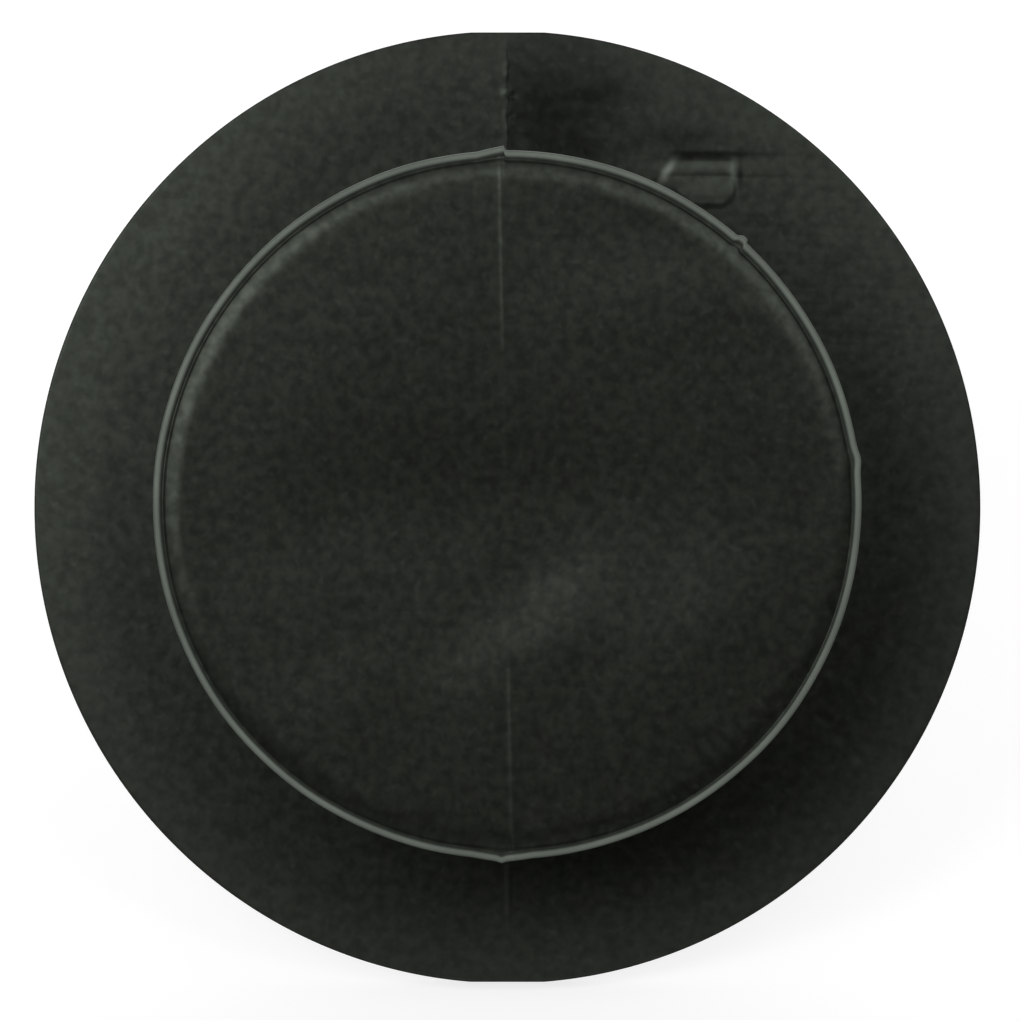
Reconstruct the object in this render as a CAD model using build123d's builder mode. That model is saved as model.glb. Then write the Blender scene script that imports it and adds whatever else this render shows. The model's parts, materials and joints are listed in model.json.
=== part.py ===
"""Push-type retainer: one nylon moulding that joins a trim panel to sheet metal.

From top to tip: a small head disc that slides into a keyhole, a plain neck, a wide flange that
seats on the panel, and a finned stem that is pushed into a round hole. The mould opens to both
sides of a plane through the axis, so every fin is flat on top and tapers below.

The retainer is built upright about Z, with its flange's seat at Z = 0. It is then laid down on
its flange's rim and its stem, as it comes to rest on a table, with its head face looking up.
"""

import os
from math import atan2, degrees, hypot

from build123d import *

# ---- Head disc ----
disc_diameter = 14.72
disc_thickness = 1.6
crown_width = 0.45  # soft shoulder round the top face
crown_drop = 0.06
lip_width = 0.15  # thin raised edge outside the shoulder
lip_height = 0.05
sink_diameter = 5.2  # shallow shrinkage hollow over the neck
sink_depth = 0.05

# ---- Neck ----
neck_diameter = 6.0
neck_length = 2.8
neck_fillet = 0.4

# ---- Flange ----
flange_diameter = 20.0
flange_root_thickness = 1.5
flange_rim_thickness = 0.8
flange_edge_chamfer = 0.06

# ---- Stem ----
pilot_diameter = 7.6  # centres the stem in an 8 mm hole
pilot_taper = 0.1  # it is this much narrower at its lower end, to leave the mould
pilot_length = 2.1
pilot_chamfer = 0.3
core_diameter = 5.0
fin_count = 5
fin_pitch = 2.1
fin_gap = 0.7  # from the pilot to the first fin
first_fin_diameter = 8.8
last_fin_diameter = 8.3
fin_root_thickness = 1.15
fin_tip_thickness = 0.35
fin_lead_chamfer = 0.15
nose_length = 3.1
nose_end_diameter = 2.8
nose_edge_radius = 0.7

# ---- Marks of the mould ----
fin_flat_inset = 0.35  # each fin is flattened by this much at the two seams
rim_flat_inset = 0.03  # and so is the flange's rim
seam_width = 0.1  # line where the two mould halves meet
seam_height = 0.035
seam_fade = 1.0  # the flange's seam stops this far inside its rim
lug_length = 1.65  # stub of the feed gate on the flange
lug_width = 1.0
lug_height = 0.16
lug_edge_chamfer = 0.06
lug_across = 4.05  # its centre from the seam plane
lug_along = 6.87  # its centre from the axis, along the seam plane

# ---- Derived sizes ----
disc_radius = disc_diameter / 2
neck_radius = neck_diameter / 2
flange_radius = flange_diameter / 2
pilot_radius = pilot_diameter / 2
pilot_end_radius = (pilot_diameter - pilot_taper) / 2
core_radius = core_diameter / 2
nose_end_radius = nose_end_diameter / 2

disc_bottom = flange_root_thickness + neck_length
disc_top = disc_bottom + disc_thickness
lip_inner_radius = disc_radius - lip_width
crown_inner_radius = lip_inner_radius - crown_width

first_fin_depth = pilot_length + fin_gap
last_fin_depth = first_fin_depth + (fin_count - 1) * fin_pitch
nose_start_depth = last_fin_depth + fin_root_thickness
stem_length = nose_start_depth + nose_length


def fin_radius(number):
    """Radius of one fin. The fins grow narrower in even steps towards the nose."""
    narrowing = (first_fin_diameter - last_fin_diameter) / 2 / max(fin_count - 1, 1)
    return first_fin_diameter / 2 - number * narrowing


def fin_depth(number):
    """Depth of one fin's flat top below the flange's seat."""
    return first_fin_depth + number * fin_pitch


def fin_outline(number, inset=0):
    """Half of a fin's section from the axis out: flat on top, blunt at its tip, tapered below."""
    top = -fin_depth(number)
    reach = fin_radius(number) - inset
    return [
        (0, top),
        (reach, top),
        (reach, top - fin_tip_thickness + fin_lead_chamfer),
        (reach - fin_lead_chamfer, top - fin_tip_thickness),
        (core_radius - inset, top - fin_root_thickness),
        (0, top - fin_root_thickness),
    ]


def flange_top(radius):
    """Height of the flange's tapered top at a radius."""
    slope = (flange_root_thickness - flange_rim_thickness) / (flange_radius - neck_radius)
    return flange_root_thickness - slope * (radius - neck_radius)


def disc_half_outline():
    """Half of the disc's section, drawn from the axis out and back."""
    face = Line((0, disc_top), (crown_inner_radius, disc_top))
    crown = TangentArc(face @ 1, (lip_inner_radius, disc_top - crown_drop), tangent=(1, 0))
    Polyline(
        crown @ 1,
        (lip_inner_radius, disc_top - crown_drop + lip_height),
        (disc_radius, disc_top - crown_drop + lip_height),
        (disc_radius, disc_bottom),
        (0, disc_bottom),
        face @ 0,
    )


# ---- Head disc: flat face, rounded shoulder, thin lip and a sink over the neck ----
with BuildPart() as head_disc:
    with BuildSketch(Plane.XZ):
        with BuildLine():
            disc_half_outline()
        make_face()
    revolve(axis=Axis.Z)
    sink_radius = (sink_diameter**2 / 4 + sink_depth**2) / (2 * sink_depth)
    with Locations((0, 0, disc_top - sink_depth + sink_radius)):
        Sphere(sink_radius, mode=Mode.SUBTRACT)

# ---- Neck, flaring into the disc above and the flange below ----
with BuildPart() as neck:
    with BuildSketch(Plane.XZ):
        with BuildLine():
            flare_radius = neck_radius + neck_fillet
            upper_flare = TangentArc(
                (neck_radius, disc_bottom - neck_fillet), (flare_radius, disc_bottom), tangent=(0, 1)
            )
            lower_flare = TangentArc(
                (neck_radius, flange_root_thickness + neck_fillet),
                (flare_radius, flange_top(flare_radius)),
                tangent=(0, -1),
            )
            Line(lower_flare @ 0, upper_flare @ 0)
            Polyline(
                upper_flare @ 1,
                (0, disc_bottom),
                (0, flange_root_thickness / 2),
                (flare_radius, flange_root_thickness / 2),
                lower_flare @ 1,
            )
        make_face()
    revolve(axis=Axis.Z)

# ---- Flange: flat seat below, tapering to a thin rim that is slightly flattened at the seams ----
with BuildPart() as flange:
    with BuildSketch(Plane.XZ) as flange_profile:
        Polygon(
            (0, 0),
            (flange_radius, 0),
            (flange_radius, flange_rim_thickness),
            (neck_radius, flange_root_thickness),
            (0, flange_root_thickness),
            align=None,
        )
        rim_corners = flange_profile.vertices().group_by(Axis.X)[-1]
        chamfer(rim_corners, length=flange_edge_chamfer)
    revolve(axis=Axis.Z)
    with BuildSketch(Plane.YZ):
        rim_flat = flange_radius - rim_flat_inset
        Polygon(
            (0, -flange_edge_chamfer),
            (rim_flat - 2 * flange_edge_chamfer, -flange_edge_chamfer),
            (rim_flat, flange_edge_chamfer),
            (rim_flat, 2 * flange_root_thickness),
            (0, 2 * flange_root_thickness),
            align=None,
        )
        mirror(about=Plane.YZ)
    extrude(amount=flange_diameter, both=True, mode=Mode.INTERSECT)

# ---- Fins, each flattened at the seams ----
with BuildPart() as fins:
    for number in range(fin_count):
        with BuildSketch(Plane.XZ):
            Polygon(*fin_outline(number), align=None)
        revolve(axis=Axis.Z)
    with BuildSketch(Plane.YZ):
        for number in range(fin_count):
            Polygon(*fin_outline(number, fin_flat_inset), align=None)
        mirror(about=Plane.YZ)
    extrude(amount=first_fin_diameter, both=True, mode=Mode.INTERSECT)

# ---- Stem: pilot, core with a rounded nose, and the fins ----
with BuildPart() as stem:
    with BuildSketch(Plane.XZ):
        Polygon(
            (0, 0),
            (pilot_radius, 0),
            (pilot_end_radius, -pilot_length),
            (0, -pilot_length),
            align=None,
        )
    revolve(axis=Axis.Z)
    chamfer(stem.edges().sort_by(Axis.Z)[0], length=pilot_chamfer)

    with BuildSketch(Plane.XZ) as core_profile:
        Polygon(
            (0, 0),
            (core_radius, 0),
            (core_radius, -nose_start_depth),
            (nose_end_radius, -stem_length),
            (0, -stem_length),
            align=None,
        )
        nose_corner = core_profile.vertices().group_by(Axis.Y)[0].sort_by(Axis.X)[-1]
        fillet(nose_corner, radius=nose_edge_radius)
    revolve(axis=Axis.Z)

    add(fins.part)

# ---- Seam: the raised line where the mould halves met ----
with BuildPart() as seam:
    with BuildSketch(Plane.YZ):
        with BuildLine():
            disc_half_outline()
        make_face()
        mirror(about=Plane.YZ)
        offset(amount=seam_height)
    extrude(amount=seam_width / 2, both=True)
    with BuildSketch(Plane.YZ):
        seam_end = flange_radius - seam_fade
        Polygon(
            (0, flange_root_thickness / 2),
            (seam_end, flange_rim_thickness / 2),
            (seam_end, flange_top(seam_end)),
            (seam_end - seam_width, flange_top(seam_end - seam_width) + seam_height),
            (neck_radius, flange_root_thickness + seam_height),
            (0, flange_root_thickness + seam_height),
            align=None,
        )
        mirror(about=Plane.YZ)
        with Locations((0, (flange_root_thickness + disc_bottom) / 2)):
            Rectangle(2 * (neck_radius + seam_height), neck_length)
        with Locations((0, -nose_start_depth / 2)):
            Rectangle(2 * (core_radius + seam_height), nose_start_depth)
    extrude(amount=seam_width / 2, both=True)

# ---- Gate stub on the flange, beside the disc's edge ----
with BuildPart() as gate_lug:
    lug_top = flange_top(hypot(lug_across, lug_along)) + lug_height
    with BuildSketch(Plane.XY.offset(flange_rim_thickness / 2)):
        with Locations((lug_across, lug_along)):
            Rectangle(lug_length, lug_width)
    extrude(amount=lug_top - flange_rim_thickness / 2)
    chamfer(gate_lug.edges().filter_by(Axis.Z), length=3 * lug_edge_chamfer)
    chamfer(gate_lug.faces().sort_by(Axis.Z)[-1].edges(), length=lug_edge_chamfer)

# ---- The whole moulding, upright ----
with BuildPart() as upright:
    add(flange.part)
    add(neck.part)
    add(head_disc.part)
    add(stem.part)
    add(gate_lug.part)
    add(seam.part)


def lean_onto(radius, depth):
    """Lean of the axis, in degrees, with the flange's rim and this stem corner on the table."""
    return degrees(atan2(rim_flat - radius, depth + flange_edge_chamfer))


# ---- Laid down: it leans until the first of the stem's corners touches ----
leans = [lean_onto(nose_end_radius, stem_length)]
for number in range(fin_count):
    tip_corner_depth = fin_depth(number) + fin_tip_thickness - fin_lead_chamfer
    leans.append(lean_onto(fin_radius(number) - fin_flat_inset, tip_corner_depth))
lean = min(leans)
turn_to_rest = (90 - lean, 0, 0)
leaning_box = upright.part.moved(Rotation(*turn_to_rest)).bounding_box()

with BuildPart() as push_type_retainer:
    with Locations((0, -leaning_box.center().Y, -leaning_box.min.Z)):
        add(upright.part, rotation=turn_to_rest)

push_type_retainer.part.label = "push_type_retainer"
os.makedirs("parts", exist_ok=True)
export_step(push_type_retainer.part, "parts/push_type_retainer.step")
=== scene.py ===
"""Push-type retainer, lying on its flange's rim and its stem, seen along its axis from above the head.

The retainer is one moulding of fine-grained black nylon. Its surface is built ring by ring about
its own axis, in millimetres, with the marks of its mould, and is then laid down in the frame.
"""

import json
import math

import bpy
import numpy as np
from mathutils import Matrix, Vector


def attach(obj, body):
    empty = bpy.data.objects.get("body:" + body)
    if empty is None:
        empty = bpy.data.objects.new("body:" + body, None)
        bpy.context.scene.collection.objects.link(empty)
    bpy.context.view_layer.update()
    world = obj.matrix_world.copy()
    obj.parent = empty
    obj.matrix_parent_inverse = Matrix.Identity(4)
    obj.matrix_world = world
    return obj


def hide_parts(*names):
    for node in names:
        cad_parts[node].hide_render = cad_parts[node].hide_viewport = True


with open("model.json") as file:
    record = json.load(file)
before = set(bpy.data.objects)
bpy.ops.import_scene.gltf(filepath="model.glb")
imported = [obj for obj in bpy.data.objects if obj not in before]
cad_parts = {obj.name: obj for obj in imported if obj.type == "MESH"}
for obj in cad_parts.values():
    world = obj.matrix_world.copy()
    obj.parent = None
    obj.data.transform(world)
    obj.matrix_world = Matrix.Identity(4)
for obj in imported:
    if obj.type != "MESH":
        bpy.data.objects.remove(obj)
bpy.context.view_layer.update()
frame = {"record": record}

MM = 0.001

# Sizes of the head disc, in millimetres: heights are above the flange's seat
DISC_RADIUS = 7.36
DISC_BOTTOM = 4.3
DISC_TOP = 5.9
DISC_LOWER_EDGE = 0.05
CROWN_WIDTH = 0.45
CROWN_DROP = 0.07
GROOVE_WIDTH = 0.09
GROOVE_DEPTH = 0.02
LIP_WIDTH = 0.15
LIP_HEIGHT = 0.05
NECK_RADIUS = 3.0
NECK_FILLET = 0.4

# Sizes of the flange
FLANGE_RADIUS = 10.0
FLANGE_ROOT = 1.5
FLANGE_RIM = 0.8
FLANGE_OVAL = 0.0066
FLANGE_SHOWN_FROM = 6.8
FLANGE_EDGE_FROM = 9.97
# section of the flange's top, as radius and height: it falls more gently outside the hidden part
FLANGE_TOP_SECTION = (
    (NECK_RADIUS, FLANGE_ROOT),
    (FLANGE_SHOWN_FROM, 1.0503909),
    (FLANGE_EDGE_FROM, 0.8038196),
    (FLANGE_RADIUS, FLANGE_RIM),
)
RIM_CHAMFER = 0.06
RIM_FLAT = 0.03

# Sizes of the stem
PILOT_RADIUS = 3.8
PILOT_TAPER = 0.1
PILOT_LENGTH = 2.1
PILOT_CHAMFER = 0.3
CORE_RADIUS = 2.5
FIN_COUNT = 5
FIN_PITCH = 2.1
FIRST_FIN_DEPTH = 2.8
FIRST_FIN_RADIUS = 4.4
LAST_FIN_RADIUS = 4.15
FIN_ROOT = 1.15
FIN_TIP = 0.35
FIN_LEAD = 0.15
FIN_FLAT = 0.35
NOSE_LENGTH = 3.1
NOSE_END_RADIUS = 1.4
NOSE_EDGE = 0.7

LIP_INNER = DISC_RADIUS - LIP_WIDTH
CROWN_INNER = LIP_INNER - CROWN_WIDTH
NOSE_TOP = -(FIRST_FIN_DEPTH + (FIN_COUNT - 1) * FIN_PITCH + FIN_ROOT)
NOSE_TIP = NOSE_TOP - NOSE_LENGTH


def smooth(low, high, value):
    """0 below low, 1 above high, and an even ramp between them."""
    t = np.clip((value - low) / (high - low), 0.0, 1.0)
    return t * t * (3.0 - 2.0 * t)


def hump(value, width):
    """A rounded hump of height 1 about 0, with that width at half height."""
    return np.exp(-2.77 * (value / width) ** 2)


def spot(x, y, centre, size):
    """A rounded spot of height 1 at centre, with that width and depth at half height."""
    return hump(x - centre[0], size[0]) * hump(y - centre[1], size[1])


def turned(x, y, degrees):
    """The same points in axes turned anticlockwise by that angle."""
    c, s = math.cos(math.radians(degrees)), math.sin(math.radians(degrees))
    return x * c + y * s, -x * s + y * c


def tilt_band(x, y, centre, towards, width, length, slope):
    """A soft band that rises towards that angle, with gentle falls before and after it."""
    a = math.radians(towards)
    along = (x - centre[0]) * math.cos(a) + (y - centre[1]) * math.sin(a)
    across = -(x - centre[0]) * math.sin(a) + (y - centre[1]) * math.cos(a)
    return slope * along * np.exp(-0.5 * (along / width) ** 2 - 0.5 * (across / length) ** 2)


def scratch(x, y, start, end, width):
    """1 on a thin straight line, fading at its ends."""
    dx, dy = end[0] - start[0], end[1] - start[1]
    length = math.hypot(dx, dy)
    along = ((x - start[0]) * dx + (y - start[1]) * dy) / length
    across = (-(x - start[0]) * dy + (y - start[1]) * dx) / length
    ends = smooth(0.0, 0.3, along) * (1.0 - smooth(length - 0.3, length, along))
    return hump(across, width) * ends


def along_section(value, section):
    """Height at a place in a section that is given by its (place, height) corners."""
    places, heights = zip(*section)
    return np.interp(value, places, heights)


def inside_distance(x, y, outline):
    """Distance inside a closed outline, negative outside it."""
    inside = np.zeros(np.shape(x), dtype=bool)
    nearest = np.full(np.shape(x), np.inf)
    for (x0, y0), (x1, y1) in zip(outline, outline[1:] + outline[:1]):
        if y0 != y1:
            crosses = ((y0 > y) != (y1 > y)) & (x < (x1 - x0) * (y - y0) / (y1 - y0) + x0)
            inside ^= crosses
        dx, dy = x1 - x0, y1 - y0
        t = np.clip(((x - x0) * dx + (y - y0) * dy) / (dx * dx + dy * dy), 0.0, 1.0)
        nearest = np.minimum(nearest, np.hypot(x - x0 - t * dx, y - y0 - t * dy))
    return np.where(inside, nearest, -nearest)


# Marks on the disc's face: a hollow over the neck, soft swells, a rolled edge, the seam and a scratch
SEAM_WIDTH = 0.1
SEAM_SKEW = 1.03
HOLLOW_CENTRE = (-0.1, -0.3)
HOLLOW_SPREAD = (3.0, 1.5)
HOLLOW_DEPTH = 0.12
# each swell: its centre, the way that it rises, its width, length and slope
SWELLS = (
    ((0.7, -2.2), -58.0, 0.68, 0.85, 0.105),
    ((-0.9, -3.3), -45.0, 0.6, 0.6, 0.04),
    ((-3.8, -1.1), -60.0, 0.9, 1.0, 0.022),
    ((-3.7, -3.6), -60.0, 0.8, 1.0, 0.022),
    ((4.0, -1.7), -60.0, 0.9, 1.3, 0.028),
    ((3.2, 4.9), -80.0, 0.9, 1.1, 0.055),
    ((1.2, 4.6), -80.0, 0.9, 0.7, 0.018),
    ((-1.6, -5.4), -80.0, 0.7, 1.0, 0.018),
    ((1.2, 0.9), 90.0, 0.9, 2.6, 0.022),
)
EDGE_ROLL = 0.08
LOWER_ROLL = 0.8
ROLL_START = 4.2
ROLL_END = 8.4
DISC_SEAM_RISE = 0.008
DISC_SEAM_PALE = 0.024
DISC_SCRATCH = ((5.42, -4.1), (5.85, -4.42), 0.07)
DISC_SCRATCH_DEPTH = 0.008
DISC_SCRATCH_PALE = 0.06
# where the shoulder's painted highlight and painted shade lie
SHOULDER_SHADING_RADIUS = 6.95
SHOULDER_SHADING_WIDTH = 0.35
# painted light in the groove inside the lip, lifting its shade
GROOVE_PAINTED_LIGHT = 0.015


def disc_marks(x, y):
    """Heights and paleness on the disc's top."""
    r = np.hypot(x, y)
    hollow_x = (x - HOLLOW_CENTRE[0]) / HOLLOW_SPREAD[0]
    hollow_y = (y - HOLLOW_CENTRE[1]) / HOLLOW_SPREAD[1]
    height = -HOLLOW_DEPTH * np.exp(-0.5 * hollow_x**2 - 0.5 * hollow_y**2)
    for swell in SWELLS:
        height = height + tilt_band(x, y, *swell)
    height = height * (1.0 - smooth(CROWN_INNER - 0.4, CROWN_INNER + 0.1, r))
    lower_side = np.clip(-y / np.maximum(r, 1.0), 0.0, 1.0)
    roll = EDGE_ROLL * (1.0 + LOWER_ROLL * lower_side) * smooth(ROLL_START, ROLL_END, r)
    across, along = turned(x, y, SEAM_SKEW)
    seam = hump(across, SEAM_WIDTH) * (0.15 + 0.85 * smooth(2.9, 4.1, np.abs(along + 0.1)))
    line = scratch(x, y, *DISC_SCRATCH)
    height = height - roll + DISC_SEAM_RISE * seam - DISC_SCRATCH_DEPTH * line
    return height, DISC_SEAM_PALE * seam + DISC_SCRATCH_PALE * line


def lip_marks(angle):
    """How far the disc's lip stands out at each angle, in degrees anticlockwise from the right."""
    def near(centre):
        return (angle - centre + 180.0) % 360.0 - 180.0

    lower_kink = 0.065 * np.clip(1.0 - np.abs(near(269.2)) / 5.0, 0, 1) + 0.025 * hump(near(269.1), 1.0)
    left_of_top = near(90.45)
    upper_kink = 0.10 * np.clip(1.0 - left_of_top / 4.5, 0, 1) * smooth(-0.15, 0.15, left_of_top)
    upper_right = near(48.4)
    long_nub = 0.075 * smooth(-1.1, -0.5, upper_right) * (1.0 - smooth(0.2, 1.2, upper_right))
    low_nub = 0.045 * hump(near(7.3), 2.6)
    waver = 0.004 * np.sin(np.radians(angle * 7)) + 0.003 * np.sin(np.radians(angle * 17 + 40))
    return lower_kink + upper_kink + long_nub + low_nub + waver


def lip_paleness(r, angles):
    """Paleness on the lip's top, partly wear and partly a painted highlight along its edge, palest along
    its middle and uneven round it.
    """
    wear_and_highlight = 0.86 + 0.06 * np.sin(np.radians(angles * 5 + 20)) + 0.05 * np.sin(np.radians(angles * 23))
    return wear_and_highlight * (0.5 + 0.5 * float(hump(r - LIP_INNER - 0.5 * LIP_WIDTH, 0.1)))


# Marks on the flange's top: the seam with its step and beads, dull smears, drag marks and the gate stub
SEAM_CENTRE_ON_FLANGE = -0.02
FLANGE_SEAM_RISE = 0.008
FLANGE_SEAM_PALE = 0.035
FLANGE_STEP = 0.014
# beads of flash on the upper seam: place along the seam, size and height
BEADS = (
    (9.29, 0.10, 0.008),
    (9.10, 0.09, 0.008),
    (8.72, 0.16, 0.020),
    (8.29, 0.13, 0.014),
    (7.95, 0.09, 0.006),
)
# painted highlight on the flash beads
BEAD_HIGHLIGHT = 7.5
# dull patches where the melt flowed past the seam: centre, size and strength
SMEARS = (
    ((0.90, 8.40), (2.90, 3.00), 0.85),
    ((1.75, 8.72), (1.90, 0.80), 0.95),
    ((1.05, 8.45), (1.20, 0.60), 0.7),
    ((1.20, 7.55), (2.40, 0.80), 0.9),
    ((3.60, 7.75), (2.00, 0.50), 0.6),
)
# section across the drag marks, from the disc's side outwards
DRAG_SECTION = (
    (6.30, 0.0), (6.42, -0.00224), (6.46, 0.0), (6.60, 0.0), (6.86, -0.00112), (6.90, -0.0056),
    (6.99, 0.0), (7.10, -0.00112), (7.35, -0.00616), (7.38, -0.00728), (7.43, 0.0), (7.50, 0.0),
)
# the gate stub's outline, in the flange's plane
STUB_OUTLINE = (
    (3.21, 7.09), (3.48, 7.33), (4.79, 7.33), (4.85, 7.18), (4.77, 6.93),
    (4.85, 6.67), (4.77, 6.42), (4.53, 6.29), (3.86, 6.29), (3.33, 6.78),
)
STUB_HEIGHT = 0.019
STUB_GROOVE_PLACE = 7.385
STUB_GROOVE_DEPTH = 0.012
# small steps across the stub's top
STUB_SECTION = (
    (6.29, 0.0), (6.44, 0.0), (6.55, 0.006), (6.88, 0.0), (6.93, -0.011),
    (7.0, 0.0), (7.13, 0.002), (7.17, -0.003), (7.33, 0.0),
)
RIM_PALE = 0.08
# painted shade on the flange near the disc
NEAR_DISC_PAINTED_SHADE = 0.3
FLANGE_SCRATCH = ((6.25, -4.1), (7.5, -5.5), 0.06)
FLANGE_SCRATCH_DEPTH = 0.006
FLANGE_SCRATCH_PALE = 0.05
SPECK = ((1.02, -8.94), (0.12, 0.12))
SPECK_HEIGHT = 0.012
SPECK_PALE = 0.10


def flange_seam(x, y):
    """The seam's height and paleness, with a painted highlight on each bead, and 1 to the right of it: a
    fine line below, a step above.
    """
    upper = smooth(6.0, 8.0, y)
    wiggle = 0.016 * np.sin(9.0 * y) + 0.010 * np.sin(23.0 * y + 1.0)
    across = x - (SEAM_CENTRE_ON_FLANGE + wiggle) * upper - 0.02 * (1.0 - upper)
    ends = (1.0 - smooth(9.5, 9.8, y)) * (1.0 - smooth(8.3, 9.3, -y))
    seam = hump(across, SEAM_WIDTH) * ends
    height = FLANGE_SEAM_RISE * (1.0 - 0.8 * upper) * seam
    pale = FLANGE_SEAM_PALE * (1.0 - 0.9 * upper) * seam
    # the right-hand half of the mould stood a little lower beside the upper seam
    right_side = smooth(-0.01, 0.05, across)
    step = right_side * (1.0 - smooth(0.3, 1.7, x)) * upper * (1.0 - smooth(9.5, 9.9, y))
    height = height - FLANGE_STEP * step
    # each bead has a dent beside it
    for bead_y, size, rise in BEADS:
        dent_centre = (SEAM_CENTRE_ON_FLANGE + 0.75 * size, bead_y - 0.55 * size)
        bead = spot(x, y, (SEAM_CENTRE_ON_FLANGE, bead_y), (size, size))
        dent = spot(x, y, dent_centre, (size, 0.8 * size))
        height = height + rise * (bead - dent)
        # a painted highlight on the bead
        pale = pale + BEAD_HIGHLIGHT * rise * bead
    return height, pale, right_side


def smear_dullness(x, y):
    """Dull, slightly streaky patches."""
    dull = np.zeros(np.shape(x))
    for centre, size, strength in SMEARS:
        dull = np.maximum(dull, strength * spot(x, y, centre, size))
    streaks = np.sin(5.0 * x + 11.0 * y + 1.5 * np.sin(2.3 * x)) * np.sin(3.1 * x - 4.0 * y)
    return np.clip(1.2 * dull - 0.12, 0.0, 1.0) * (0.9 + 0.1 * streaks)


def drag_marks(x, y):
    """Marks dragged to the right of the gate stub, with fine lines along them."""
    fading = smooth(4.5, 4.9, x) * (1.0 - 0.8 * smooth(5.0, 7.3, x))
    height = along_section(y, DRAG_SECTION) * fading
    fine = 0.00056 * np.sin(31.0 * y + 2.0 * np.sin(0.9 * x))
    fine = fine + 0.00042 * np.sin(53.0 * y + 1.3 * np.sin(1.7 * x))
    lined = smooth(3.6, 5.0, x) * smooth(2.0, 4.0, y) * (1.0 - smooth(7.3, 7.5, y))
    return height + fine * lined


def gate_stub(x, y):
    """Height of the gate stub, a low block with a groove along its upper side, with painted highlights on
    its facets and bands and painted shade in its groove and at its ends.
    """
    block = smooth(-0.03, 0.10, inside_distance(x, y, STUB_OUTLINE))
    groove_ends = smooth(3.35, 3.6, x) * (1.0 - smooth(4.4, 5.6, x))
    groove = hump(y - STUB_GROOVE_PLACE, 0.10) * groove_ends
    height = (STUB_HEIGHT + along_section(y, STUB_SECTION)) * block - STUB_GROOVE_DEPTH * groove
    left_facet_highlight = spot(*turned(x - 3.37, y - 7.06, 56.0), (0.0, 0.0), (0.40, 0.13))
    right_facet_highlight = spot(x, y, (4.76, 7.04), (0.11, 0.34))
    upper_highlight_band = spot(x, y, (4.05, 7.17), (1.5, 0.16))
    lower_highlight_band = spot(x, y, (4.15, 6.66), (1.3, 0.45))
    # painted highlights on the stub's left and right facets and on bands across its top
    pale = 0.95 * left_facet_highlight + 0.5 * right_facet_highlight + 0.14 * upper_highlight_band + 0.07 * lower_highlight_band
    shaded_ends = spot(x, y, (4.92, 6.98), (0.10, 0.55)) + spot(x, y, (3.13, 6.86), (0.16, 0.12))
    # painted shade in the groove and at the ends; a higher specular level on the block and left facet as
    # painted highlight
    dull = 1.3 * groove + 0.9 * shaded_ends - 0.45 * block - 0.8 * left_facet_highlight
    return height, pale, dull


def flange_marks(x, y):
    """Heights, paleness and dullness on the flange's top, with painted highlights and painted shade among
    them.
    """
    r = np.hypot(x, y)
    seam_height, seam_pale, right_side = flange_seam(x, y)
    stub_height, stub_highlight, stub_dull = gate_stub(x, y)
    line = scratch(x, y, *FLANGE_SCRATCH)
    speck = spot(x, y, *SPECK)
    height = seam_height + drag_marks(x, y) + stub_height
    height = height - FLANGE_SCRATCH_DEPTH * line + SPECK_HEIGHT * speck
    pale = seam_pale + stub_highlight + RIM_PALE * smooth(7.8, 10.6, r)
    pale = pale + FLANGE_SCRATCH_PALE * line + SPECK_PALE * speck
    dull = np.clip(smear_dullness(x, y) * right_side + stub_dull, -1.0, 1.0)
    # painted shade: darker and less specular near the disc, on the upper left, where the disc blocks part
    # of the light
    near_disc_shade = (1.0 - smooth(7.4, 9.9, r)) * smooth(2.0, 7.5, 0.5 * y - 0.87 * x)
    return height, pale, dull + NEAR_DISC_PAINTED_SHADE * near_disc_shade


# The turned form: rings of radius and height, from the middle of the face round to the tip of the nose
CROWN_STEPS = 12
GROOVE_STEPS = 6
LIP_STEPS = 12
# the rim's rounded corners: distances inwards from the rim, and down from its top or up from the seat
RIM_TOP_CORNER = ((0.014, 0.002), (0.004, 0.006), (0.0, 0.014))
RIM_SEAT_CORNER = ((0.0, 0.07), (0.012, 0.036), (0.036, 0.012), (0.07, 0.0))


def arc(start, end, centre, steps):
    """Points of a circular arc from start to end about centre, without the start."""
    a0 = math.atan2(start[1] - centre[1], start[0] - centre[0])
    a1 = math.atan2(end[1] - centre[1], end[0] - centre[0])
    while a1 - a0 > math.pi:
        a1 -= 2 * math.pi
    while a0 - a1 > math.pi:
        a1 += 2 * math.pi
    radius = math.hypot(start[0] - centre[0], start[1] - centre[1])
    angles = [a0 + (a1 - a0) * i / steps for i in range(1, steps + 1)]
    return [(centre[0] + radius * math.cos(a), centre[1] + radius * math.sin(a)) for a in angles]


def run(start, end, step):
    """Evenly spaced points from start to end, without the start."""
    count = max(1, round(math.hypot(end[0] - start[0], end[1] - start[1]) / step))
    return [
        (start[0] + (end[0] - start[0]) * i / count, start[1] + (end[1] - start[1]) * i / count)
        for i in range(1, count + 1)
    ]


def flange_top(radius):
    """Height of the flange's top at a radius, without its marks."""
    return float(along_section(radius, FLANGE_TOP_SECTION))


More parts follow.
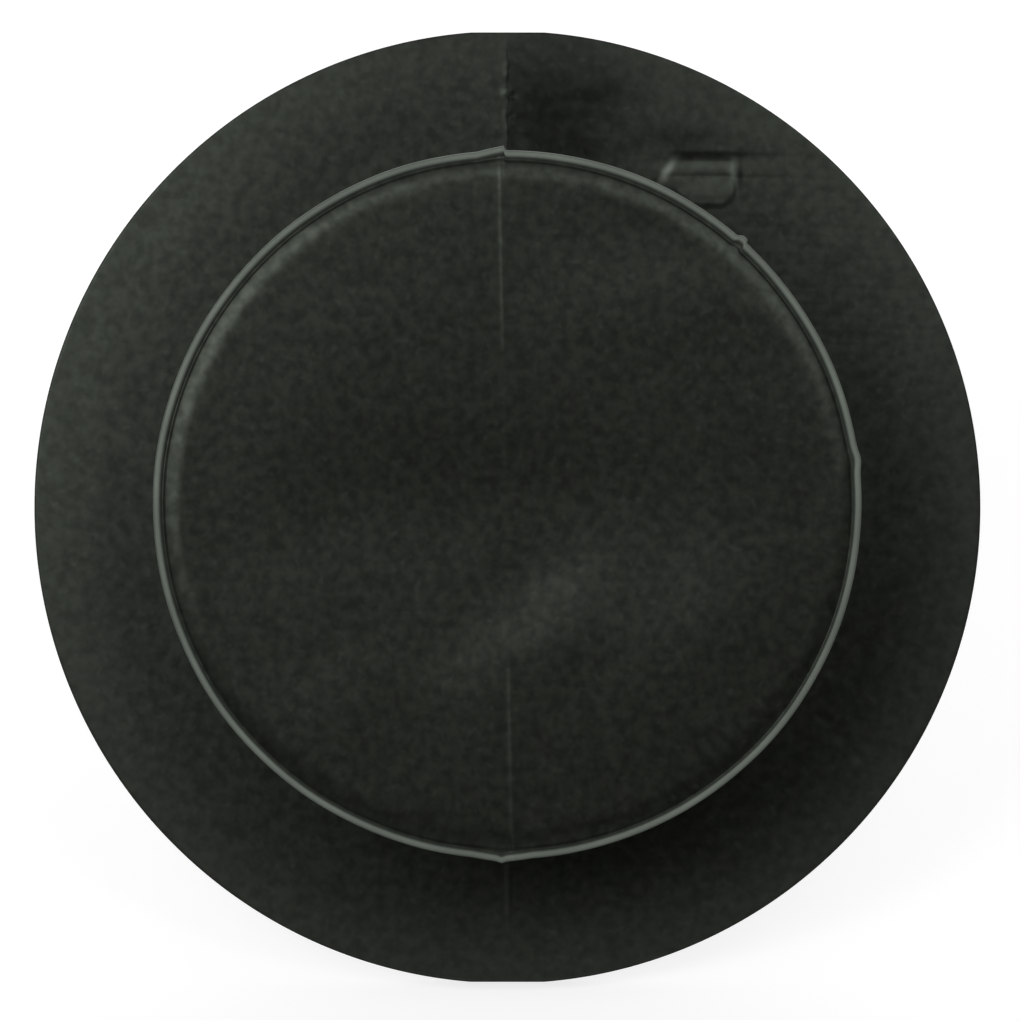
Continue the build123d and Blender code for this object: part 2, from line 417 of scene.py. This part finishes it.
def face_rings():
    """The disc's top face, its rounded shoulder, the groove and the lip."""
    centre = (0.08, DISC_TOP)
    rings = [centre] + run(centre, (CROWN_INNER - 0.15, DISC_TOP), 0.25)
    rings += run(rings[-1], (CROWN_INNER, DISC_TOP), 0.05)
    groove_start = LIP_INNER - GROOVE_WIDTH
    for step in range(1, CROWN_STEPS + 1):
        t = step / CROWN_STEPS * (groove_start - CROWN_INNER) / CROWN_WIDTH
        rings += [(CROWN_INNER + CROWN_WIDTH * t, DISC_TOP - CROWN_DROP * t**2)]
    groove_top = rings[-1][1]
    for step in range(1, GROOVE_STEPS + 1):
        t = step / GROOVE_STEPS
        rings += [(groove_start + GROOVE_WIDTH * t, groove_top - GROOVE_DEPTH * math.sin(math.pi * t))]
    lip_base = DISC_TOP - CROWN_DROP
    for step in range(1, LIP_STEPS + 1):
        t = step / LIP_STEPS
        rise = (1.0 - abs(2.0 * t - 1.0) ** 3) ** (1.0 / 3.0)
        rings += [(LIP_INNER + LIP_WIDTH * t, lip_base + LIP_HEIGHT * rise)]
    return rings


def under_rings():
    """Down the disc's side, in under it, down the neck and out over the flange's root."""
    edge = DISC_LOWER_EDGE
    start = (DISC_RADIUS, DISC_TOP - CROWN_DROP - EDGE_ROLL - 0.1)
    rings = [start] + run(start, (DISC_RADIUS, DISC_BOTTOM + edge), 0.5)
    edge_centre = (DISC_RADIUS - edge, DISC_BOTTOM + edge)
    rings += arc(rings[-1], (DISC_RADIUS - edge, DISC_BOTTOM), edge_centre, 3)
    flare = NECK_RADIUS + NECK_FILLET
    rings += run(rings[-1], (flare, DISC_BOTTOM), 0.8)
    upper_start = DISC_BOTTOM - NECK_FILLET
    rings += arc(rings[-1], (NECK_RADIUS, upper_start), (flare, upper_start), 6)
    lower_end = FLANGE_ROOT + NECK_FILLET
    rings += run(rings[-1], (NECK_RADIUS, lower_end), 0.5)
    rings += arc(rings[-1], (flare, FLANGE_ROOT), (flare, lower_end), 6)[:-1]
    rings += [(flare + 0.05, flange_top(flare + 0.05))]
    hidden_end = FLANGE_SHOWN_FROM - 0.1
    rings += run(rings[-1], (hidden_end, flange_top(hidden_end)), 0.6)
    return rings


def flange_rings():
    """The part of the flange's top that shows, and its rim."""
    rings = [(FLANGE_SHOWN_FROM, flange_top(FLANGE_SHOWN_FROM))]
    rings += run(rings[-1], (FLANGE_EDGE_FROM, flange_top(FLANGE_EDGE_FROM)), 0.047)
    edge_top = flange_top(FLANGE_RADIUS)
    rings += [(FLANGE_RADIUS - inward, edge_top - down) for inward, down in RIM_TOP_CORNER]
    rings += [(FLANGE_RADIUS, FLANGE_RIM / 2), (FLANGE_RADIUS, 0.1)]
    return rings


def stem_rings():
    """The flange's seat, the pilot, the fins and the nose."""
    rings = [(FLANGE_RADIUS - inward, up) for inward, up in RIM_SEAT_CORNER]
    rings += run(rings[-1], (PILOT_RADIUS, 0.0), 1.0)
    pilot_end = (PILOT_RADIUS - PILOT_TAPER / 2, -PILOT_LENGTH + PILOT_CHAMFER)
    rings += run(rings[-1], pilot_end, 0.6)
    rings += [(pilot_end[0] - PILOT_CHAMFER, -PILOT_LENGTH), (CORE_RADIUS, -PILOT_LENGTH)]
    for number in range(FIN_COUNT):
        top = -(FIRST_FIN_DEPTH + number * FIN_PITCH)
        radius = FIRST_FIN_RADIUS + (LAST_FIN_RADIUS - FIRST_FIN_RADIUS) * number / (FIN_COUNT - 1)
        rings += run(rings[-1], (CORE_RADIUS, top + 0.06), 0.5)
        rings += [(CORE_RADIUS + 0.06, top)]
        rings += run(rings[-1], (radius - 0.03, top), 0.6)
        rings += [(radius, top - 0.03), (radius, top - FIN_TIP + FIN_LEAD)]
        rings += [(radius - FIN_LEAD, top - FIN_TIP - 0.08)]
        rings += run(rings[-1], (CORE_RADIUS + 0.1, top - FIN_ROOT + 0.05), 0.6)
        rings += [(CORE_RADIUS, top - FIN_ROOT)]
    lean = math.atan2(CORE_RADIUS - NOSE_END_RADIUS, NOSE_LENGTH)
    reach = NOSE_EDGE * math.tan((math.pi / 2 - lean) / 2)
    side_end = (NOSE_END_RADIUS + reach * math.sin(lean), NOSE_TIP + reach * math.cos(lean))
    end_start = (NOSE_END_RADIUS - reach, NOSE_TIP)
    rings += run(rings[-1], side_end, 0.6)
    rings += arc(side_end, end_start, (end_start[0], NOSE_TIP + NOSE_EDGE), 8)
    rings += run(rings[-1], (0.1, NOSE_TIP), 0.4)
    return rings


# Angles of the points round each ring: close together at the seam, the lip's marks and the gate stub
DISC_SEAM_OFFSETS = (0.0, 0.015, 0.03, 0.045, 0.06, 0.08, 0.11, 0.15)
DISC_COLUMNS = tuple(-c for c in DISC_SEAM_OFFSETS[:0:-1]) + DISC_SEAM_OFFSETS
FLANGE_COLUMNS = tuple(0.02 * i for i in range(-10, 13))
# each span: from, to and step, in degrees
LIP_SPANS = ((46.0, 51.0, 0.16), (3.0, 11.0, 0.25), (85.0, 97.0, 0.2), (263.0, 276.0, 0.25))
FLANGE_SPANS = ((18.0, 66.0, 0.3), (66.45, 84.0, 0.45))
STEM_SPANS = ((88.0, 92.0, 0.5), (268.0, 272.0, 0.5))


def angle_list(step, spans=()):
    """Angles round the axis, in degrees, spaced by step, and more closely within each span."""
    angles = [a for a in np.arange(0.0, 360.0, step) if not any(lo <= a <= hi for lo, hi, _ in spans)]
    for low, high, fine in spans:
        angles += list(np.linspace(low, high, round((high - low) / fine) + 1))
    return np.array(sorted(angles))


def with_columns(radius, angles, columns, skew):
    """The same angles, with points at fixed distances from the seam in place of those near it."""
    columns = np.array([c for c in columns if abs(c) < 0.97 * radius])
    reach = math.degrees(math.asin(np.abs(columns).max() / radius)) + 0.5 * 360 / len(angles)
    off_centre = np.abs((angles - skew) % 180.0 - 90.0)
    kept = angles[off_centre > reach]
    offsets = np.degrees(np.arcsin(columns / radius))
    upper, lower = (90.0 + skew - offsets) % 360.0, (270.0 + skew + offsets) % 360.0
    return np.sort(np.concatenate([kept, upper, lower]))


def rim_flattened(y, z):
    """Across the flange, flattened at both seams of its rim."""
    limit = FLANGE_RADIUS - RIM_FLAT + min(0.0, z - RIM_CHAMFER)
    return np.clip(y, -limit, limit)


def squeezed(r):
    """The flange is slightly narrower across than along the seam."""
    return 1 - FLANGE_OVAL * float(smooth(4.0, 10.0, r))


def face_ring(r, z):
    """A ring of the disc's top: its angles, points, paleness and dullness, the last being only the
    shoulder's painted highlight and painted shade.
    """
    if r < 0.6:
        base = angle_list(12.0)
    elif r < 2.0:
        base = angle_list(4.0)
    elif r < CROWN_INNER - 0.2:
        base = angle_list(1.5)
    else:
        base = angle_list(0.8, LIP_SPANS)
    angles = with_columns(r, base, DISC_COLUMNS, SEAM_SKEW)
    a = np.radians(angles)
    out = 1 + lip_marks(angles) * float(smooth(LIP_INNER - 0.14, LIP_INNER, r)) / r
    x, y = r * np.cos(a) * out, r * np.sin(a) * out
    height, pale = disc_marks(x, y)
    on_lip = float(smooth(LIP_INNER - 0.04, LIP_INNER + 0.05, r))
    # the groove is lightened with painted light, against its shade
    groove = float(hump(r - LIP_INNER + 0.5 * GROOVE_WIDTH, GROOVE_WIDTH))
    pale = (pale + GROOVE_PAINTED_LIGHT * groove) * (1 - on_lip) + on_lip * lip_paleness(r, angles)
    # painted highlight and painted shade on the shoulder: more specular on its upper side, towards the
    # lights, and darker with less specular below
    shoulder_light_and_shade = float(hump(r - SHOULDER_SHADING_RADIUS, SHOULDER_SHADING_WIDTH)) * np.clip(0.5 + np.sin(a), -1.0, 1.0)
    return angles, np.stack([x, y, z + height], 1), pale, -shoulder_light_and_shade


def under_ring(r, z):
    """A ring of the disc's side, its underside, the neck or the flange's root."""
    angles = angle_list(2.5)
    a = np.radians(angles)
    x, y = r * np.cos(a), r * np.sin(a)
    return angles, np.stack([x, y, np.full_like(x, z)], 1), 0 * x, 0 * x


def flange_ring(r, z):
    """A ring of the flange's top or of its rim."""
    angles = with_columns(r, angle_list(0.9, FLANGE_SPANS), FLANGE_COLUMNS, 0.0)
    a = np.radians(angles)
    x, y = r * np.cos(a), rim_flattened(r * np.sin(a), z)
    height, pale, dull = flange_marks(x, y)
    on_top = float(smooth(FLANGE_RIM - 0.06, FLANGE_RIM - 0.02, z))
    return angles, np.stack([x * squeezed(r), y, z + height * on_top], 1), pale * on_top, dull * on_top


def stem_ring(r, z):
    """A ring of the flange's seat, the pilot, the fins or the nose."""
    angles = angle_list(2.5, STEM_SPANS)
    a = np.radians(angles)
    x, y = r * np.cos(a) * squeezed(r), r * np.sin(a)
    if z >= 0:
        y = rim_flattened(y, z)
    elif z <= -PILOT_LENGTH and r > CORE_RADIUS + FIN_FLAT:
        y = np.clip(y, FIN_FLAT - r, r - FIN_FLAT)
    elif NOSE_TOP < z <= -PILOT_LENGTH and r <= CORE_RADIUS:
        y = y * (1 + 0.03 * hump(x, SEAM_WIDTH) / r)
    return angles, np.stack([x, y, np.full_like(x, z)], 1), 0 * x, 0 * x


class Skin:
    """Vertices and faces of the moulding's surface, gathered ring by ring."""

    def __init__(self):
        self.points, self.pale, self.dull, self.faces = [], [], [], []
        self.count = 0
        self.last = None

    def add_points(self, points, pale, dull):
        first = self.count
        self.points.append(points)
        self.pale.append(pale)
        self.dull.append(dull)
        self.count += len(points)
        return first

    def add_ring(self, angles, points, pale, dull):
        """Adds a ring and joins it to the one before, which may have other angles."""
        first = self.add_points(points, pale, dull)
        if self.last is not None:
            self.join(self.last, (first, angles))
        self.last = (first, angles)

    def join(self, upper, lower):
        (a, angles_a), (b, angles_b) = upper, lower
        na, nb = len(angles_a), len(angles_b)
        if na == nb and np.abs(angles_a - angles_b).max() < 0.3:
            for i in range(na):
                j = (i + 1) % na
                self.faces.append((a + i, b + i, b + j, a + j))
            return
        # other angles: triangles, each to the ring whose next angle comes first
        ends_a = list(angles_a[1:]) + [360.0 + angles_a[0], math.inf]
        ends_b = list(angles_b[1:]) + [360.0 + angles_b[0], math.inf]
        i = j = 0
        while i < na or j < nb:
            if ends_a[i] <= ends_b[j]:
                self.faces.append((a + i % na, b + j % nb, a + (i + 1) % na))
                i += 1
            else:
                self.faces.append((a + i % na, b + j % nb, b + (j + 1) % nb))
                j += 1

    def close(self, ring, tip, downwards):
        """Joins a ring to one point in its middle."""
        first, angles = ring
        n = len(angles)
        for i in range(n):
            j = (i + 1) % n
            self.faces.append((first + i, tip, first + j) if downwards else (tip, first + i, first + j))


def whole_skin():
    """The surface of the moulding, closed at the middle of the face and at the tip of the nose."""
    skin = Skin()
    first_ring = None
    for rings, make_ring in (
        (face_rings(), face_ring),
        (under_rings(), under_ring),
        (flange_rings(), flange_ring),
        (stem_rings(), stem_ring),
    ):
        for r, z in rings:
            skin.add_ring(*make_ring(r, z))
            first_ring = first_ring or skin.last
    last_ring = skin.last
    face_height = DISC_TOP + float(disc_marks(np.array(0.0), np.array(0.0))[0])
    for ring, height, downwards in ((first_ring, face_height, False), (last_ring, NOSE_TIP, True)):
        tip = skin.add_points(np.array([(0.0, 0.0, height)]), np.zeros(1), np.zeros(1))
        skin.close(ring, tip, downwards)
    return skin


# Laid down in the frame, by the place and direction of the flange's seat
seat = next(m for m in frame["record"]["mounts"] if m["name"] == "panel_seat")
axis_up = -Vector(seat["axis"]).normalized()
right = Vector((1.0, 0.0, 0.0))
upward = axis_up.cross(right).normalized()
origin = Vector((0.0, seat["pos_m"][1], seat["pos_m"][2]))

SHARP_ANGLE = 38.0

skin = whole_skin()
basis = np.array([list(right), list(upward), list(axis_up)])
placed = np.concatenate(skin.points) @ basis * MM + np.array(origin)

mesh = bpy.data.meshes.new("retainer_moulding")
mesh.from_pydata(placed.tolist(), [], skin.faces)
mesh.validate()
mesh.shade_smooth()
mesh.set_sharp_from_angle(angle=math.radians(SHARP_ANGLE))
for layer_name, values in (("pale", skin.pale), ("dull", skin.dull)):
    layer = mesh.attributes.new(layer_name, "FLOAT", "POINT")
    layer.data.foreach_set("value", np.concatenate(values).astype(np.float32))
retainer = bpy.data.objects.new("retainer_moulding", mesh)
bpy.context.scene.collection.objects.link(retainer)

# Material: fine-grained black nylon, paler where it is worn and where highlights and light are painted
# in, and darker and duller in the smears and where shade is painted in
NYLON_GREEN = (0.0078, 0.0095, 0.0065, 1)
NYLON_BROWN = (0.0092, 0.0090, 0.0073, 1)
# darker colour of the dull smears, also used for painted shade
NYLON_DULL_AND_SHADE = (0.002, 0.0024, 0.002, 1)
# pale colour of wear and specks, also used for painted highlights and painted light
NYLON_WEAR_AND_HIGHLIGHT = (0.245, 0.28, 0.24, 1)
NYLON_SHEEN_TINT = (0.88, 1.0, 0.84, 1)
NYLON_SPECULAR = 0.28
DULL_SPECULAR = 0.06
# the higher specular level goes only where a highlight is painted in
HIGHLIGHT_SPECULAR = 2 * NYLON_SPECULAR - DULL_SPECULAR
NYLON_ROUGHNESS = 0.36
NYLON_IOR = 1.5
# noise, in cycles a metre
GRAIN_SCALE = 4700.0
CLOUD_SCALE = 420.0
TINT_SCALE = 2600.0
SPECK_SCALE = 5600.0
GRAIN_DEPTH = 0.0000013
GRAIN_CONTRAST = 0.25
CLOUD_CONTRAST = 0.1
SPECK_LEVEL = 0.03
DULL_AND_SHADE_SHARE = 0.35


def noise(nodes, links, where, scale, detail):
    """A noise texture in the retainer's own coordinates, at that many cycles a metre."""
    texture = nodes.new("ShaderNodeTexNoise")
    texture.inputs["Scale"].default_value = scale
    texture.inputs["Detail"].default_value = detail
    links.new(where.outputs["Object"], texture.inputs["Vector"])
    return texture.outputs["Fac"]


def mapped(nodes, links, source, low, high, from_low=0.3, from_high=0.7):
    """The source, from its usual span to the span from low to high."""
    node = nodes.new("ShaderNodeMapRange")
    node.inputs["From Min"].default_value = from_low
    node.inputs["From Max"].default_value = from_high
    node.inputs["To Min"].default_value = low
    node.inputs["To Max"].default_value = high
    links.new(source, node.inputs["Value"])
    return node.outputs["Result"]


def multiplied(nodes, links, a, b):
    """The product of two values."""
    node = nodes.new("ShaderNodeMath")
    node.operation = "MULTIPLY"
    links.new(a, node.inputs[0])
    links.new(b, node.inputs[1])
    return node.outputs["Value"]


def mixed(nodes, links, factor, a, b, blend="MIX"):
    """Two colours mixed. Each of the three may be a socket or a constant."""
    node = nodes.new("ShaderNodeMix")
    node.data_type = "RGBA"
    node.blend_type = blend
    for name, value in (("Factor", factor), ("A", a), ("B", b)):
        # the colour sockets have the same names as those of other data types
        socket = [i for i in node.inputs if i.name == name and i.enabled][0]
        if hasattr(value, "is_output"):
            links.new(value, socket)
        else:
            socket.default_value = value
    return [o for o in node.outputs if o.enabled][0]


def layer_value(nodes, name):
    """The value that the mesh carries in that layer."""
    attribute = nodes.new("ShaderNodeAttribute")
    attribute.attribute_name = name
    return attribute.outputs["Fac"]


def nylon_material():
    """Black nylon. The layer of dullness and painted shade runs from -1, a painted highlight with more
    specular, to 1, darker and less specular for the dull smears and for painted shade.
    """
    material = bpy.data.materials.new("black_nylon")
    material.use_nodes = True
    nodes, links = material.node_tree.nodes, material.node_tree.links
    shader = nodes["Principled BSDF"]
    shader.inputs["IOR"].default_value = NYLON_IOR
    shader.inputs["Specular Tint"].default_value = NYLON_SHEEN_TINT
    shader.inputs["Roughness"].default_value = NYLON_ROUGHNESS
    where = nodes.new("ShaderNodeTexCoord")

    grain = noise(nodes, links, where, GRAIN_SCALE, 1.5)
    cloud = noise(nodes, links, where, CLOUD_SCALE, 3.0)
    tint = noise(nodes, links, where, TINT_SCALE, 1.0)
    specks = noise(nodes, links, where, SPECK_SCALE, 0.0)
    dull = layer_value(nodes, "dull")
    pale = layer_value(nodes, "pale")

    grain_level = mapped(nodes, links, grain, 1.0 - GRAIN_CONTRAST, 1.0 + GRAIN_CONTRAST)
    cloud_level = mapped(nodes, links, cloud, 1.0 - CLOUD_CONTRAST, 1.0 + CLOUD_CONTRAST)
    dull_share = mapped(nodes, links, dull, 0.0, DULL_AND_SHADE_SHARE, 0.0, 1.0)
    speck_share = mapped(nodes, links, specks, 0.0, SPECK_LEVEL, 0.66, 0.80)

    tone = mixed(nodes, links, mapped(nodes, links, tint, 0.0, 1.0), NYLON_GREEN, NYLON_BROWN)
    tone = mixed(nodes, links, 1.0, tone, grain_level, "MULTIPLY")
    tone = mixed(nodes, links, 1.0, tone, cloud_level, "MULTIPLY")
    # darker in the dull smears and where shade is painted in
    tone = mixed(nodes, links, dull_share, tone, NYLON_DULL_AND_SHADE)
    # paler where it is worn and where highlights and light are painted in
    tone = mixed(nodes, links, pale, tone, NYLON_WEAR_AND_HIGHLIGHT)
    tone = mixed(nodes, links, speck_share, tone, NYLON_WEAR_AND_HIGHLIGHT)
    links.new(tone, shader.inputs["Base Color"])

    sheen = mapped(nodes, links, dull, HIGHLIGHT_SPECULAR, DULL_SPECULAR, -1.0, 1.0)
    links.new(multiplied(nodes, links, sheen, grain_level), shader.inputs["Specular IOR Level"])

    bump = nodes.new("ShaderNodeBump")
    bump.inputs["Strength"].default_value = 1.0
    bump.inputs["Distance"].default_value = GRAIN_DEPTH
    links.new(grain, bump.inputs["Height"])
    links.new(bump.outputs["Normal"], shader.inputs["Normal"])
    return material


mesh.materials.append(nylon_material())
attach(retainer, "root")
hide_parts("push_type_retainer")

# Floor: pale paper, white where the camera sees it apart from the retainer's shadow
FLOOR_HALF = 3.0
FLOOR_GREY = (0.4, 0.4, 0.4, 1)
FLOOR_ROUGHNESS = 0.9
FLOOR_GLOW = 0.80


def white_floor():
    """A paper floor that glows only where the camera looks at it."""
    floor_mesh = bpy.data.meshes.new("floor")
    half = FLOOR_HALF
    corners = [(-half, -half, 0), (half, -half, 0), (half, half, 0), (-half, half, 0)]
    floor_mesh.from_pydata(corners, [], [(0, 1, 2, 3)])
    floor = bpy.data.objects.new("floor", floor_mesh)
    bpy.context.scene.collection.objects.link(floor)
    material = bpy.data.materials.new("floor_paper")
    material.use_nodes = True
    nodes, links = material.node_tree.nodes, material.node_tree.links
    paper = nodes["Principled BSDF"]
    paper.inputs["Base Color"].default_value = FLOOR_GREY
    paper.inputs["Roughness"].default_value = FLOOR_ROUGHNESS
    paper.inputs["Specular IOR Level"].default_value = 0.0
    glow = nodes.new("ShaderNodeEmission")
    glow.inputs["Strength"].default_value = FLOOR_GLOW
    both = nodes.new("ShaderNodeAddShader")
    path = nodes.new("ShaderNodeLightPath")
    pick = nodes.new("ShaderNodeMixShader")
    links.new(paper.outputs["BSDF"], both.inputs[0])
    links.new(glow.outputs["Emission"], both.inputs[1])
    links.new(path.outputs["Is Camera Ray"], pick.inputs["Fac"])
    links.new(paper.outputs["BSDF"], pick.inputs[1])
    links.new(both.outputs["Shader"], pick.inputs[2])
    links.new(pick.outputs["Shader"], nodes["Material Output"].inputs["Surface"])
    floor_mesh.materials.append(material)


white_floor()

# Surroundings: a white room that is dark behind the photographer and brighter beyond the flange
WHITE = (1, 1, 1, 1)
ROOM_STRENGTH = 0.24
ROOM_LOW_STRENGTH = 0.22
ROOM_DARK_SHARE = 0.1
ROOM_DARK_WITHIN = 14.0
ROOM_BRIGHT_FROM = 60.0
ROOM_BACK_SHARE = 5.0


def white_room():
    """The room's light, which the camera itself sees as plain white."""
    room_world = bpy.data.worlds.new("studio")
    room_world.use_nodes = True
    nodes, links = room_world.node_tree.nodes, room_world.node_tree.links
    toward = nodes.new("ShaderNodeTexCoord")
    facing = nodes.new("ShaderNodeVectorMath")
    facing.operation = "DOT_PRODUCT"
    facing.inputs[1].default_value = axis_up
    links.new(toward.outputs["Generated"], facing.inputs[0])
    overhead = nodes.new("ShaderNodeSeparateXYZ")
    links.new(toward.outputs["Generated"], overhead.inputs[0])

    # facing runs from 1, on the retainer's axis, to -1, straight beyond its stem
    dark_from = math.cos(math.radians(ROOM_BRIGHT_FROM))
    dark_to = math.cos(math.radians(ROOM_DARK_WITHIN))
    cap = mapped(nodes, links, facing.outputs["Value"], 1.0, ROOM_DARK_SHARE, dark_from, dark_to)
    cap.node.interpolation_type = "SMOOTHSTEP"
    back = mapped(nodes, links, facing.outputs["Value"], ROOM_BACK_SHARE, 1.0, -0.3, 0.2)
    height = mapped(nodes, links, overhead.outputs["Z"], ROOM_LOW_STRENGTH, ROOM_STRENGTH, 0.0, 0.9)
    level = multiplied(nodes, links, multiplied(nodes, links, cap, back), height)

    room = nodes["Background"]
    room.inputs["Color"].default_value = WHITE
    links.new(level, room.inputs["Strength"])
    backdrop = nodes.new("ShaderNodeBackground")
    backdrop.inputs["Color"].default_value = WHITE
    backdrop.inputs["Strength"].default_value = 1.0
    path = nodes.new("ShaderNodeLightPath")
    pick = nodes.new("ShaderNodeMixShader")
    links.new(path.outputs["Is Camera Ray"], pick.inputs["Fac"])
    links.new(room.outputs["Background"], pick.inputs[1])
    links.new(backdrop.outputs["Background"], pick.inputs[2])
    links.new(pick.outputs["Shader"], nodes["World Output"].inputs["Surface"])
    return room_world


scene = bpy.context.scene
scene.world = white_room()

# Soft lights: name, angle in the view, angle off the retainer's axis, size in metres and power
SOFTBOX_DISTANCE = 0.45
SOFTBOXES = (
    ("key", 150.0, 22.0, 0.16, 0.49),
    ("upper_right", 48.0, 22.0, 0.12, 0.21),
    ("low", 270.0, 26.0, 0.04, 0.06),
)


def softbox(name, view_angle, off_axis, size, power):
    """A square soft light, facing the retainer."""
    a, t = math.radians(view_angle), math.radians(off_axis)
    side = right * math.cos(a) + upward * math.sin(a)
    direction = axis_up * math.cos(t) + side * math.sin(t)
    data = bpy.data.lights.new(name, "AREA")
    data.shape = "SQUARE"
    data.size = size
    data.energy = power
    light = bpy.data.objects.new(name, data)
    light.location = origin + direction * SOFTBOX_DISTANCE
    light.rotation_euler = direction.to_track_quat("Z", "Y").to_euler()
    scene.collection.objects.link(light)


for values in SOFTBOXES:
    softbox(*values)

# Camera: far off, almost along the axis
CAMERA_DISTANCE = 0.45
FRAME_WIDTH = 0.02142
SENSOR_WIDTH = 36.0
CAMERA_LOW_BY = 0.6
CAMERA_RIGHT_BY = 0.05
AIM_RIGHT = 0.055
AIM_UPWARD = -0.062
AIM_HEIGHT = 0.8

camera_data = bpy.data.cameras.new("camera")
camera_data.sensor_width = SENSOR_WIDTH
camera_data.lens = SENSOR_WIDTH * CAMERA_DISTANCE / FRAME_WIDTH
camera_data.clip_start = 0.01
camera_data.clip_end = 20.0
camera = bpy.data.objects.new("camera", camera_data)
scene.collection.objects.link(camera)
low_by, right_by = math.radians(CAMERA_LOW_BY), math.radians(CAMERA_RIGHT_BY)
back = (axis_up - upward * math.tan(low_by) + right * math.tan(right_by)).normalized()
aim = origin + (axis_up * AIM_HEIGHT + right * AIM_RIGHT + upward * AIM_UPWARD) * MM
camera.location = aim + back * CAMERA_DISTANCE
camera.rotation_euler = back.to_track_quat("Z", "Y").to_euler()
scene.camera = camera
scene.view_settings.view_transform = "Standard"
